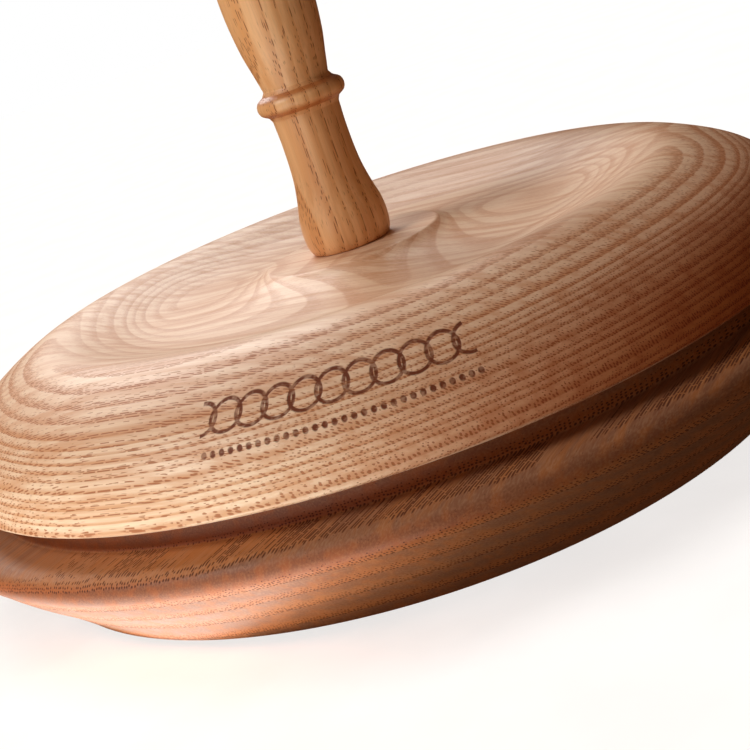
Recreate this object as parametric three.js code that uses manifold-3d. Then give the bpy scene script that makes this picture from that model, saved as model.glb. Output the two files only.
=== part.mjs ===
// Tabletop yarn swift: a turned two-disc base with a bearing hidden between the discs, a turned
// spindle, two stacked arms with rows of peg holes, four lift-out pegs and a clamp knob.
// Millimetres, +Z up. The feet stand on z = 0 and the spindle is on the Z axis.
import * as THREE from 'three';
import { mergeVertices } from 'three/addons/utils/BufferGeometryUtils.js';
import Module from 'manifold-3d';

const wasm = await Module();
wasm.setup();

// ---------------------------------------------------------------- driving dimensions
const GAP = 0.3;                  // clearance between neighbouring pieces

const DISC_SEGMENTS = 56;         // facets round each disc
const DISC_RADIUS = 119;          // bottom edge of the upper disc
const DISC_EDGE_Z = 35.5;         // height of that edge
const BOSS_RADIUS = 24.2;
const BOSS_HEIGHT = 24.9;         // above the upper disc's bottom edge

const BASE_RADIUS = 127.2;        // widest line of the lower disc
const BASE_BOTTOM_Z = 2;
const LEDGE_Z = 29.4;
const STEP_RADIUS = 113;          // the raised step that the upper disc covers
const STEP_TOP_Z = 34.5;

const PAD_RADIUS = 9;
const PAD_HEIGHT = 4;
const PAD_CIRCLE = 86;            // radius of the circle that the four pads lie on
const PAD_COUNT = 4;

const RECESS_RADIUS = 73;         // pocket in the lower disc for the bearing
const RECESS_FLOOR_Z = 27.7;
const RACE_INNER = 44;
const RACE_OUTER = 70;
const RACE_THICKNESS = 2.3;
const BALL_CIRCLE = 62;
const BALL_RADIUS = 2.3;
const BALL_COUNT = 12;
const BALL_Z = 31.6;
const RACE_SCREW_CIRCLE = 51;
const RACE_SCREW_COUNT = 4;
const RACE_SCREW_SHANK = 1.7;
const RACE_SCREW_HEAD = 3.4;
const RACE_SCREW_HEAD_HEIGHT = 0.8;
const RACE_SCREW_DEPTH = 11;      // into the wood
const DRIVER_HOLE_RADIUS = 6;     // lets a screwdriver reach the upper race's screws

const SPINDLE_TOP_Z = 229.7;
const SPINDLE_TOP_RADIUS = 12.6;
const SPINDLE_SCREW_SHANK = 2.4;
const SPINDLE_SCREW_TOP_Z = 100;
const STUD_RADIUS = 3.9;
const STUD_HOLE_RADIUS = 4.3;
const STUD_BOTTOM_Z = 195.3;

const ARM_LENGTH = 660;
const ARM_WIDTH = 38;
const ARM_THICKNESS = 12;
const SPACER_RADIUS = 17;
const SPACER_THICKNESS = 1.5;
const PEG_HOLE_RADIUS = 5.1;
const PEG_HOLE_FIRST = 120;       // distance of the innermost peg hole from the spindle
const PEG_HOLE_PITCH = 25;
const PEG_HOLE_COUNT = 9;         // on each half of an arm
const PEG_SEAT = 6;               // the hole that holds a peg, counted from 0 at the spindle end

const PEG_SHANK_RADIUS = 4.7;
const PEG_HEIGHT = 130;           // above the arm

const CLAMP_WASHER_RADIUS = 14;
const CLAMP_WASHER_THICKNESS = 1.6;
const KNOB_RADIUS = 20;
const KNOB_HEIGHT = 34;
const INSERT_RADIUS = 6.5;
const INSERT_LENGTH = 18;

// Heights of the stack of pieces on the stud.
const LOWER_ARM_Z = SPINDLE_TOP_Z + GAP;
const SPACER_Z = LOWER_ARM_Z + ARM_THICKNESS + GAP;
const UPPER_ARM_Z = SPACER_Z + SPACER_THICKNESS + GAP;
const CLAMP_WASHER_Z = UPPER_ARM_Z + ARM_THICKNESS + GAP;
const KNOB_Z = CLAMP_WASHER_Z + CLAMP_WASHER_THICKNESS + GAP;
const STUD_TOP_Z = KNOB_Z + INSERT_LENGTH - 1;

// ---------------------------------------------------------------- materials
const lightAsh = new THREE.MeshStandardMaterial({ color: 0xdcbf98, roughness: 0.45, metalness: 0 });
const darkAsh = new THREE.MeshStandardMaterial({ color: 0xb88a66, roughness: 0.5, metalness: 0 });
const goldenOak = new THREE.MeshStandardMaterial({ color: 0xc98f4e, roughness: 0.4, metalness: 0 });
const zincSteel = new THREE.MeshStandardMaterial({ color: 0xb4b6b8, roughness: 0.35, metalness: 1 });
const ballSteel = new THREE.MeshStandardMaterial({ color: 0xd0d2d4, roughness: 0.15, metalness: 1 });
const brass = new THREE.MeshStandardMaterial({ color: 0xc9a24a, roughness: 0.3, metalness: 1 });
const rubber = new THREE.MeshStandardMaterial({ color: 0x2b2a29, roughness: 0.85, metalness: 0 });
const nylon = new THREE.MeshStandardMaterial({ color: 0xe9e5da, roughness: 0.5, metalness: 0 });

// ---------------------------------------------------------------- shape helpers
const swift = new THREE.Group();

function add(name, geometry, material) {
  const mesh = new THREE.Mesh(geometry, material);
  mesh.name = name;
  swift.add(mesh);
  return mesh;
}

// Turned shape about the Z axis from [radius, height] pairs listed anticlockwise, seen with the
// axis on the left: out along the underside, up the outside and back in over the top.
function turned(outline, segments) {
  const profile = outline.map(([radius, height]) => new THREE.Vector2(radius, height));
  return new THREE.LatheGeometry(profile, segments).rotateX(Math.PI / 2);
}

function ring(innerRadius, outerRadius, bottom, top, segments) {
  return turned([
    [innerRadius, bottom],
    [outerRadius, bottom],
    [outerRadius, top],
    [innerRadius, top],
    [innerRadius, bottom],
  ], segments);
}

function rod(radius, bottom, top, segments) {
  return turned([[0, bottom], [radius, bottom], [radius, top], [0, top]], segments);
}

// Points on a circular arc in an outline, from one angle to another in degrees.
function arc(centreRadius, centreHeight, radius, fromDegrees, toDegrees, steps) {
  const points = [];
  for (let i = 0; i <= steps; i += 1) {
    const angle = THREE.MathUtils.degToRad(fromDegrees + ((toDegrees - fromDegrees) * i) / steps);
    points.push([centreRadius + radius * Math.cos(angle), centreHeight + radius * Math.sin(angle)]);
  }
  return points;
}

function solid(geometry) {
  const bare = geometry.clone();
  bare.deleteAttribute('normal');
  bare.deleteAttribute('uv');
  const merged = mergeVertices(bare, 1e-4);
  const mesh = new wasm.Mesh({
    numProp: 3,
    vertProperties: Float32Array.from(merged.attributes.position.array),
    triVerts: Uint32Array.from(merged.index.array),
  });
  return new wasm.Manifold(mesh);
}

function geometryOf(manifold) {
  const mesh = manifold.getMesh();
  const geometry = new THREE.BufferGeometry();
  geometry.setAttribute('position', new THREE.BufferAttribute(mesh.vertProperties, 3));
  geometry.setIndex(new THREE.BufferAttribute(mesh.triVerts, 1));
  geometry.computeVertexNormals();
  return geometry;
}

function cut(geometry, tools) {
  const carved = tools.reduce((body, tool) => body.subtract(solid(tool)), solid(geometry));
  return geometryOf(carved);
}

// Calls place(x, y, index) for points spaced evenly round a circle.
function aroundCircle(count, radius, firstDegrees, place) {
  return Array.from({ length: count }, (_, index) => {
    const angle = THREE.MathUtils.degToRad(firstDegrees) + (index * 2 * Math.PI) / count;
    return place(radius * Math.cos(angle), radius * Math.sin(angle), index);
  });
}

// ---------------------------------------------------------------- lower disc and its feet
const PAD_FIRST_DEGREES = 45;
const LOWER_SCREW_FIRST_DEGREES = 0;
const UPPER_SCREW_FIRST_DEGREES = 45;
const DRIVER_HOLE_DEGREES = 22.5;

function lowerDisc() {
  const body = turned([
    [0, BASE_BOTTOM_Z],
    [105.6, BASE_BOTTOM_Z],
    [107.4, 4.2],
    [113.4, 10.6],
    [119.6, 16.4],
    [124.2, 21.4],
    ...arc(BASE_RADIUS - 4.2, LEDGE_Z - 4.2, 4.2, -15, 90, 4),
    [STEP_RADIUS, LEDGE_Z],
    [STEP_RADIUS, STEP_TOP_Z],
    [RECESS_RADIUS, STEP_TOP_Z],
    [RECESS_RADIUS, RECESS_FLOOR_Z],
    [0, RECESS_FLOOR_Z],
  ], DISC_SEGMENTS);
  const padPockets = aroundCircle(PAD_COUNT, PAD_CIRCLE, PAD_FIRST_DEGREES, (x, y) => (
    rod(PAD_RADIUS + GAP, BASE_BOTTOM_Z - 1, PAD_HEIGHT + GAP, 16).translate(x, y, 0)
  ));
  const pilotHoles = aroundCircle(RACE_SCREW_COUNT, RACE_SCREW_CIRCLE, LOWER_SCREW_FIRST_DEGREES, (x, y) => (
    rod(RACE_SCREW_SHANK + GAP, RECESS_FLOOR_Z - RACE_SCREW_DEPTH, RECESS_FLOOR_Z + 1, 12).translate(x, y, 0)
  ));
  const driverHole = aroundCircle(1, RACE_SCREW_CIRCLE, DRIVER_HOLE_DEGREES, (x, y) => (
    rod(DRIVER_HOLE_RADIUS, BASE_BOTTOM_Z - 1, RECESS_FLOOR_Z + 1, 20).translate(x, y, 0)
  ));
  return cut(body, [...padPockets, ...pilotHoles, ...driverHole]);
}

function foot() {
  return turned([
    [0, 0],
    [PAD_RADIUS - 0.8, 0],
    [PAD_RADIUS, 0.8],
    [PAD_RADIUS, PAD_HEIGHT],
    [0, PAD_HEIGHT],
  ], 16);
}

add('lower_disc', lowerDisc(), darkAsh);
aroundCircle(PAD_COUNT, PAD_CIRCLE, PAD_FIRST_DEGREES, (x, y, index) => {
  add(`foot_pad_${index + 1}`, foot(), rubber).position.set(x, y, 0);
});

// ---------------------------------------------------------------- bearing between the discs
const LOWER_RACE_Z = RECESS_FLOOR_Z + GAP;
const UPPER_RACE_Z = DISC_EDGE_Z - GAP - RACE_THICKNESS;
const GROOVE_HALF_WIDTH = 2.6;
const GROOVE_DEPTH = 1.2;
const RACE_HOLE_RADIUS = RACE_SCREW_SHANK + GAP;

// A flat ring with a ball groove in its top, standing on z = 0, with its screw holes.
function race(firstScrewDegrees) {
  const plate = turned([
    [RACE_INNER, 0],
    [RACE_OUTER, 0],
    [RACE_OUTER, RACE_THICKNESS],
    [BALL_CIRCLE + GROOVE_HALF_WIDTH, RACE_THICKNESS],
    [BALL_CIRCLE + GROOVE_HALF_WIDTH - GROOVE_DEPTH, RACE_THICKNESS - GROOVE_DEPTH],
    [BALL_CIRCLE - GROOVE_HALF_WIDTH + GROOVE_DEPTH, RACE_THICKNESS - GROOVE_DEPTH],
    [BALL_CIRCLE - GROOVE_HALF_WIDTH, RACE_THICKNESS],
    [RACE_INNER, RACE_THICKNESS],
    [RACE_INNER, 0],
  ], 36);
  const screwHoles = aroundCircle(RACE_SCREW_COUNT, RACE_SCREW_CIRCLE, firstScrewDegrees, (x, y) => (
    rod(RACE_HOLE_RADIUS, -1, RACE_THICKNESS + 1, 12).translate(x, y, 0)
  ));
  return cut(plate, screwHoles);
}

// The balls and the thin ring that spaces them, as one running piece.
function ballCage() {
  const spacer = ring(BALL_CIRCLE - 4, BALL_CIRCLE + 4, BALL_Z - 0.4, BALL_Z + 0.4, 36);
  const balls = aroundCircle(BALL_COUNT, BALL_CIRCLE, 0, (x, y) => (
    new THREE.SphereGeometry(BALL_RADIUS, 8, 6).rotateX(Math.PI / 2).translate(x, y, BALL_Z)
  ));
  return geometryOf(balls.reduce((body, ball) => body.add(solid(ball)), solid(spacer)));
}

// A pan-head wood screw with its head resting on z = 0 and its point down.
function raceScrew() {
  return turned([
    [0, -RACE_SCREW_DEPTH - RACE_THICKNESS + 1],
    [RACE_SCREW_SHANK, -RACE_SCREW_DEPTH + 2],
    [RACE_SCREW_SHANK, 0],
    [RACE_SCREW_HEAD, 0],
    [RACE_SCREW_HEAD - 0.8, RACE_SCREW_HEAD_HEIGHT],
    [0, RACE_SCREW_HEAD_HEIGHT],
  ], 12);
}

add('lower_race', race(LOWER_SCREW_FIRST_DEGREES), zincSteel).position.z = LOWER_RACE_Z;
add('ball_cage', ballCage(), ballSteel);
const upperRace = add('upper_race', race(-UPPER_SCREW_FIRST_DEGREES), zincSteel);
upperRace.rotation.x = Math.PI;
upperRace.position.z = UPPER_RACE_Z + RACE_THICKNESS;

aroundCircle(RACE_SCREW_COUNT, RACE_SCREW_CIRCLE, LOWER_SCREW_FIRST_DEGREES, (x, y, index) => {
  const screw = add(`lower_race_screw_${index + 1}`, raceScrew(), zincSteel);
  screw.position.set(x, y, LOWER_RACE_Z + RACE_THICKNESS + 0.2);
});
aroundCircle(RACE_SCREW_COUNT, RACE_SCREW_CIRCLE, UPPER_SCREW_FIRST_DEGREES, (x, y, index) => {
  const screw = add(`upper_race_screw_${index + 1}`, raceScrew(), zincSteel);
  screw.rotation.x = Math.PI;
  screw.position.set(x, y, UPPER_RACE_Z - 0.2);
});

// ---------------------------------------------------------------- upper disc
const COUNTERBORE_RADIUS = 10.5;
const COUNTERBORE_TOP_Z = DISC_EDGE_Z + 6;
const SCREW_PASSAGE_RADIUS = SPINDLE_SCREW_SHANK + 0.4;

function upperDisc() {
  const edge = DISC_EDGE_Z;
  const bossTop = DISC_EDGE_Z + BOSS_HEIGHT;
  const body = turned([
    [SCREW_PASSAGE_RADIUS, COUNTERBORE_TOP_Z],
    [COUNTERBORE_RADIUS, COUNTERBORE_TOP_Z],
    [COUNTERBORE_RADIUS, edge],
    [DISC_RADIUS, edge],
    // rounded shoulder, then the rim's crest
    [DISC_RADIUS - 1.4, edge + 5.2],
    [DISC_RADIUS - 5.2, edge + 12],
    [DISC_RADIUS - 11.5, edge + 18.4],
    [DISC_RADIUS - 20.5, edge + 23.4],
    [DISC_RADIUS - 28, edge + 26.2],
    [DISC_RADIUS - 33, edge + 26.9],
    // shallow dish, falling from the crest and rising again to the boss
    [80, edge + 26.1],
    [72, edge + 23.9],
    [64, edge + 21.8],
    [56, edge + 20.9],
    [46, edge + 21.1],
    [38, edge + 21.7],
    [31, edge + 22.7],
    [27, edge + 23.7],
    [BOSS_RADIUS, bossTop],
    [SCREW_PASSAGE_RADIUS, bossTop],
    [SCREW_PASSAGE_RADIUS, COUNTERBORE_TOP_Z],
  ], DISC_SEGMENTS);
  const pilotHoles = aroundCircle(RACE_SCREW_COUNT, RACE_SCREW_CIRCLE, UPPER_SCREW_FIRST_DEGREES, (x, y) => (
    rod(RACE_SCREW_SHANK + GAP, edge - 1, edge + RACE_SCREW_DEPTH, 12).translate(x, y, 0)
  ));
  return cut(body, pilotHoles);
}

add('upper_disc', upperDisc(), lightAsh);

// ---------------------------------------------------------------- spindle and what holds it
const SPINDLE_FOOT_Z = DISC_EDGE_Z + BOSS_HEIGHT + GAP;
const PILOT_RADIUS = SPINDLE_SCREW_SHANK + GAP;
const SPINDLE_WASHER_THICKNESS = 1.2;

function spindle() {
  const foot = SPINDLE_FOOT_Z;
  const top = SPINDLE_TOP_Z;
  return turned([
    [0, SPINDLE_SCREW_TOP_Z + 2],
    [PILOT_RADIUS, SPINDLE_SCREW_TOP_Z + 1],
    [PILOT_RADIUS, foot],
    // bulb foot and plain neck
    [11, foot],
    [11.9, foot + 3.4],
    [11.9, foot + 8],
    [10.6, foot + 14],
    [9.3, foot + 20.5],
    [9, foot + 30],
    // ring bead between two fillets
    [9.2, foot + 37],
    ...arc(9.2, foot + 41, 2.8, -70, 70, 3),
    [9, foot + 45],
    // long vase
    [11.2, foot + 56],
    [12.2, foot + 68],
    [11.4, foot + 86],
    [9.2, foot + 112],
    [8.4, foot + 126],
    // upper bead and the shoulder that carries the arms
    ...arc(8.6, foot + 134, 3, -70, 70, 3),
    [8.6, foot + 141],
    [9.4, foot + 151],
    [SPINDLE_TOP_RADIUS, top - 9],
    [SPINDLE_TOP_RADIUS, top],
    [STUD_HOLE_RADIUS, top],
    [STUD_HOLE_RADIUS, STUD_BOTTOM_Z - GAP],
    [0, STUD_BOTTOM_Z - GAP - 1],
  ], 28);
}

// A wood screw driven up from below, with its head at the bottom.
function spindleScrew() {
  const seat = COUNTERBORE_TOP_Z - SPINDLE_WASHER_THICKNESS - 2 * GAP;
  return turned([
    [0, seat - 2.6],
    [3.6, seat - 2.6],
    [5, seat - 1.4],
    [5, seat],
    [SPINDLE_SCREW_SHANK, seat],
    [SPINDLE_SCREW_SHANK, SPINDLE_SCREW_TOP_Z - 7],
    [0, SPINDLE_SCREW_TOP_Z],
  ], 16);
}

function spindleWasher() {
  const top = COUNTERBORE_TOP_Z - GAP;
  return ring(SCREW_PASSAGE_RADIUS, COUNTERBORE_RADIUS - 1, top - SPINDLE_WASHER_THICKNESS, top, 24);
}

add('spindle', spindle(), goldenOak);
add('spindle_screw', spindleScrew(), zincSteel);
add('spindle_washer', spindleWasher(), zincSteel);
add('threaded_stud', rod(STUD_RADIUS, STUD_BOTTOM_Z, STUD_TOP_Z, 20), zincSteel);

// ---------------------------------------------------------------- arms
function hole(x, y, radius) {
  return new THREE.Path().absarc(x, y, radius, 0, 2 * Math.PI, true);
}

// A flat bar with round ends along X, standing on z = 0, with its stud hole and peg holes.
function arm() {
  const halfWidth = ARM_WIDTH / 2;
  const straight = ARM_LENGTH / 2 - halfWidth;
  const outline = new THREE.Shape();
  outline.moveTo(-straight, -halfWidth);
  outline.lineTo(straight, -halfWidth);
  outline.absarc(straight, 0, halfWidth, -Math.PI / 2, Math.PI / 2, false);
  outline.lineTo(-straight, halfWidth);
  outline.absarc(-straight, 0, halfWidth, Math.PI / 2, (3 * Math.PI) / 2, false);
  outline.holes.push(hole(0, 0, STUD_HOLE_RADIUS));
  for (let i = 0; i < PEG_HOLE_COUNT; i += 1) {
    const distance = PEG_HOLE_FIRST + i * PEG_HOLE_PITCH;
    outline.holes.push(hole(distance, 0, PEG_HOLE_RADIUS));
    outline.holes.push(hole(-distance, 0, PEG_HOLE_RADIUS));
  }
  return new THREE.ExtrudeGeometry(outline, { depth: ARM_THICKNESS, bevelEnabled: false, curveSegments: 7 });
}

const lowerArm = add('lower_arm', arm(), lightAsh);
lowerArm.position.z = LOWER_ARM_Z;

const armSpacer = ring(STUD_HOLE_RADIUS, SPACER_RADIUS, SPACER_Z, SPACER_Z + SPACER_THICKNESS, 32);
add('arm_spacer', armSpacer, nylon);

const upperArm = add('upper_arm', arm(), lightAsh);
upperArm.rotation.z = Math.PI / 2;
upperArm.position.z = UPPER_ARM_Z;

// ---------------------------------------------------------------- pegs
// A turned peg whose collar rests on z = 0 and whose shank fills the arm's hole.
function peg() {
  return turned([
    [0, GAP - ARM_THICKNESS],
    [PEG_SHANK_RADIUS, GAP - ARM_THICKNESS],
    [PEG_SHANK_RADIUS, GAP],
    [9.2, GAP],
    [9.2, 3.4],
    [6.6, 5.6],
    [5.4, 12],
    [6.2, 40],
    [5.6, 80],
    [4.6, PEG_HEIGHT - 16],
    [5.2, PEG_HEIGHT - 14],
    [7.6, PEG_HEIGHT - 9],
    [7.2, PEG_HEIGHT - 3.6],
    [4, PEG_HEIGHT - 0.6],
    [0, PEG_HEIGHT],
  ], 16);
}

const pegDistance = PEG_HOLE_FIRST + PEG_SEAT * PEG_HOLE_PITCH;
const pegSeats = [
  ['peg_right', pegDistance, 0, LOWER_ARM_Z],
  ['peg_back', 0, pegDistance, UPPER_ARM_Z],
  ['peg_left', -pegDistance, 0, LOWER_ARM_Z],
  ['peg_front', 0, -pegDistance, UPPER_ARM_Z],
];
for (const [name, x, y, armBottom] of pegSeats) {
  add(name, peg(), goldenOak).position.set(x, y, armBottom + ARM_THICKNESS);
}

// ---------------------------------------------------------------- clamp knob
function knob() {
  const bottom = KNOB_Z;
  const top = KNOB_Z + KNOB_HEIGHT;
  const socketRadius = INSERT_RADIUS + GAP;
  const socketTop = KNOB_Z + INSERT_LENGTH + 2 * GAP;
  return turned([
    [0, socketTop],
    [socketRadius, socketTop],
    [socketRadius, bottom],
    [13.4, bottom],
    [14, bottom + 0.8],
    [12.6, bottom + 5.6],
    [14.2, bottom + 10],
    ...arc(KNOB_RADIUS - 8, bottom + 19.6, 8, -50, 75, 5),
    [8, top - 2.6],
    [0, top],
  ], 32);
}

add('clamp_washer', ring(
  STUD_HOLE_RADIUS,
  CLAMP_WASHER_RADIUS,
  CLAMP_WASHER_Z,
  CLAMP_WASHER_Z + CLAMP_WASHER_THICKNESS,
  32,
), brass);
add('knob_insert', ring(STUD_HOLE_RADIUS, INSERT_RADIUS, KNOB_Z + 0.2, KNOB_Z + INSERT_LENGTH, 24), brass);
add('knob', knob(), goldenOak);

export default swift;
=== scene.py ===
"""Looks of the tabletop yarn swift: turned wooden discs, spindle, arms, pegs and hardware."""

import math

import bmesh
import bpy
from mathutils import Matrix, Vector

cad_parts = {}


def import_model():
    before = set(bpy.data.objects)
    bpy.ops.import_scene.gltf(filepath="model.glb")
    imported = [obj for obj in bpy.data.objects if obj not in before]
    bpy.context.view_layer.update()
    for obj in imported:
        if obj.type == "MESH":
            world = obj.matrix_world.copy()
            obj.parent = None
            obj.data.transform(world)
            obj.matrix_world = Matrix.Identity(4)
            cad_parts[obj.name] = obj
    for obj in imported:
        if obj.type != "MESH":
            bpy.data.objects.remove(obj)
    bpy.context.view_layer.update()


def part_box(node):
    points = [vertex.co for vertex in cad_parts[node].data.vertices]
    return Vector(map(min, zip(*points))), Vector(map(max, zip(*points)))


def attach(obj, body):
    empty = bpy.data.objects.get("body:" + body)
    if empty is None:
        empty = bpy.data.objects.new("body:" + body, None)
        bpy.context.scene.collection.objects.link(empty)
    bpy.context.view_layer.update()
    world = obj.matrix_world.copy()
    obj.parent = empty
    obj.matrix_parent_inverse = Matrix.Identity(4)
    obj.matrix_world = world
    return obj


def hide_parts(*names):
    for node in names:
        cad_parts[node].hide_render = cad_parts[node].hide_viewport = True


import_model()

MM = 0.001
TURN_STEPS = 192                 # facets round a large turned piece
SMALL_TURN_STEPS = 64            # facets round a small one
SHARP_DEGREES = 40               # edges sharper than this stay sharp when shaded
GAP = 0.3                        # clearance between neighbouring pieces, in millimetres

# ------------------------------------------------------------------ sizes read from the frame
DISC_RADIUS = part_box("upper_disc")[1].x
EDGE_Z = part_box("upper_disc")[0].z             # bottom edge of the upper disc
BASE_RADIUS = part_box("lower_disc")[1].x
SPINDLE_FOOT_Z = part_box("spindle")[0].z
SPINDLE_TOP_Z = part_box("spindle")[1].z

# Camera, found from the perspective of the discs' edges.
CAMERA_LENS = 67.2
CAMERA_DISTANCE = 3.247 * DISC_RADIUS
CAMERA_ELEVATION = 0.24
CAMERA_AIM = Vector((-6.2, 0.0, -12.4)) * MM    # from the centre of the upper disc's bottom edge
CAMERA_ROLL = math.radians(-19.59)

# Light colours.
NEARLY_WHITE = (1.0, 0.98, 0.95)
WARM_WHITE = (1.0, 0.92, 0.82)
GREENISH_WHITE = (0.94, 1.0, 0.96)
AMBIENT = (1.0, 0.48, 0.22, 1)


# ------------------------------------------------------------------ outlines
def curve_through(points, step):
    """A centripetal Catmull-Rom curve through 2-D points, sampled about every step."""
    if len(points) < 3:
        return [Vector(p) for p in points]
    given = [Vector(p) for p in points]
    padded = [2 * given[0] - given[1], *given, 2 * given[-1] - given[-2]]
    samples = [given[0]]
    for p0, p1, p2, p3 in zip(padded, padded[1:], padded[2:], padded[3:]):
        t0 = 0.0
        t1 = t0 + math.sqrt((p1 - p0).length)
        t2 = t1 + math.sqrt((p2 - p1).length)
        t3 = t2 + math.sqrt((p3 - p2).length)
        count = max(2, math.ceil((p2 - p1).length / step))
        for i in range(1, count + 1):
            t = t1 + (t2 - t1) * i / count
            a1 = p0 * ((t1 - t) / (t1 - t0)) + p1 * ((t - t0) / (t1 - t0))
            a2 = p1 * ((t2 - t) / (t2 - t1)) + p2 * ((t - t1) / (t2 - t1))
            a3 = p2 * ((t3 - t) / (t3 - t2)) + p3 * ((t - t2) / (t3 - t2))
            b1 = a1 * ((t2 - t) / (t2 - t0)) + a2 * ((t - t0) / (t2 - t0))
            b2 = a2 * ((t3 - t) / (t3 - t1)) + a3 * ((t - t1) / (t3 - t1))
            samples.append(b1 * ((t2 - t) / (t2 - t1)) + b2 * ((t - t1) / (t2 - t1)))
    return samples


def length_of(points):
    return sum((b - a).length for a, b in zip(points, points[1:]))


def trimmed(points, distance):
    """The points with that much length taken off the end, or as much as leaves a third of it."""
    left = min(distance, length_of(points) * 0.34)
    kept = list(points)
    while len(kept) > 1 and (kept[-1] - kept[-2]).length <= left:
        left -= (kept[-1] - kept[-2]).length
        kept.pop()
    if len(kept) > 1 and left > 0:
        back = kept[-2] - kept[-1]
        kept[-1] = kept[-1] + back.normalized() * left
    return kept


def outline(points, step=1.0):
    """A smooth outline in millimetres. A point of (radius, height) is passed smoothly, and one of
    (radius, height, rounding) is a corner, softened by that much. The ends count as corners."""
    corners = [0] + [i for i, p in enumerate(points) if len(p) == 3 and 0 < i < len(points) - 1]
    corners.append(len(points) - 1)
    runs = []
    for start, end in zip(corners, corners[1:]):
        runs.append(curve_through([p[:2] for p in points[start:end + 1]], step))
    result = []
    for number, run in enumerate(runs):
        first_corner = points[corners[number]]
        last_corner = points[corners[number + 1]]
        if number > 0:
            run = trimmed(run[::-1], first_corner[2])[::-1]
        if number < len(runs) - 1:
            run = trimmed(run, last_corner[2])
        if result:
            corner = Vector(first_corner[:2])
            before, after = result[-1], run[0]
            for i in range(1, 5):
                t = i / 5
                result.append(before * (1 - t) ** 2 + corner * (2 * t * (1 - t)) + after * t ** 2)
        result.extend(run)
    return result


def corners(*points, rounding=0.3):
    """The points as rounded corners of an outline."""
    return [(*point, rounding) for point in points]


def ring_section(hole, outer, low, high, rounding):
    """The closed outline of a flat ring, to be turned."""
    return corners((hole, low), (outer, low), (outer, high), (hole, high), (hole, low), rounding=rounding)


# ------------------------------------------------------------------ meshes
def new_piece(name, mesh):
    piece = bpy.data.objects.new(name, mesh)
    bpy.context.scene.collection.objects.link(piece)
    return piece


def add_rings(build, rings, closed=False):
    """Faces between neighbouring rings of vertices. A ring of one vertex is a pole."""
    pairs = list(zip(rings, rings[1:]))
    if closed:
        pairs.append((rings[-1], rings[0]))
    for lower, upper in pairs:
        steps = max(len(lower), len(upper))
        for i in range(steps):
            j = (i + 1) % steps
            if len(lower) == 1 and len(upper) == 1:
                continue
            if len(lower) == 1:
                build.faces.new((lower[0], upper[j], upper[i]))
            elif len(upper) == 1:
                build.faces.new((lower[i], lower[j], upper[0]))
            else:
                build.faces.new((lower[i], lower[j], upper[j], upper[i]))


def add_turned(build, points, steps, at=(0, 0, 0), step=1.0, closed=False, flip=False):
    """A turned body about a vertical axis through at, from an outline in millimetres. With flip
    it stands on its head."""
    direction = -1 if flip else 1
    rings = []
    profile = outline(points, step)
    if closed:
        profile = profile[:-1]
    for radius, height in profile:
        z = at[2] + direction * height * MM
        if radius < 1e-4:
            rings.append([build.verts.new((at[0], at[1], z))])
            continue
        ring = []
        for i in range(steps):
            angle = 2 * math.pi * i / steps
            x = at[0] + radius * MM * math.cos(angle)
            y = at[1] + radius * MM * math.sin(angle)
            ring.append(build.verts.new((x, y, z)))
        rings.append(ring)
    add_rings(build, rings, closed)


def add_thread(build, radius, pitch, depth, bottom, top, at=(0, 0, 0), steps=28, flip=False):
    """A threaded rod in millimetres, whose crest climbs round it and fades out at both ends."""
    direction = -1 if flip else 1
    rows = math.ceil((top - bottom) / pitch * 6)
    rings = [[build.verts.new((at[0], at[1], at[2] + direction * bottom * MM))]]
    for row in range(rows + 1):
        height = bottom + (top - bottom) * row / rows
        fade = min(1.0, (height - bottom) / pitch, (top - height) / pitch)
        ring = []
        for i in range(steps):
            turn = (height / pitch - direction * i / steps) % 1.0
            crest = 1 - abs(2 * turn - 1)
            reach = (radius - depth + depth * crest * fade) * MM
            angle = 2 * math.pi * i / steps
            x = at[0] + reach * math.cos(angle)
            y = at[1] + reach * math.sin(angle)
            ring.append(build.verts.new((x, y, at[2] + direction * height * MM)))
        rings.append(ring)
    rings.append([build.verts.new((at[0], at[1], at[2] + direction * top * MM))])
    add_rings(build, rings)


def shade_smooth(mesh):
    """Smooth shading, except over edges sharper than SHARP_DEGREES."""
    for polygon in mesh.polygons:
        polygon.use_smooth = True
    mesh.set_sharp_from_angle(angle=math.radians(SHARP_DEGREES))


def mesh_from(build, name):
    bmesh.ops.recalc_face_normals(build, faces=build.faces)
    mesh = bpy.data.meshes.new(name)
    build.to_mesh(mesh)
    build.free()
    shade_smooth(mesh)
    return mesh


def turned(name, points, steps=SMALL_TURN_STEPS, at=(0, 0, 0), step=1.0, closed=False):
    build = bmesh.new()
    add_turned(build, points, steps, at, step, closed)
    return new_piece(name, mesh_from(build, name))


def around_circle(count, radius, first_degrees):
    """Places in metres, spaced evenly round a circle given in millimetres."""
    places = []
    for i in range(count):
        angle = math.radians(first_degrees) + 2 * math.pi * i / count
        places.append((radius * MM * math.cos(angle), radius * MM * math.sin(angle)))
    return places


def cut_away(piece, tool, crossing=False):
    """Cuts the tool's shape out of the piece and removes the tool. A tool whose own parts cross
    each other needs crossing."""
    modifier = piece.modifiers.new("cut", "BOOLEAN")
    modifier.operation = "DIFFERENCE"
    modifier.solver = "EXACT"
    modifier.use_self = crossing
    modifier.object = tool
    bpy.context.view_layer.update()
    evaluated = piece.evaluated_get(bpy.context.evaluated_depsgraph_get())
    cut = bpy.data.meshes.new_from_object(evaluated)
    piece.modifiers.clear()
    piece.data = cut
    bpy.data.objects.remove(tool)


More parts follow.
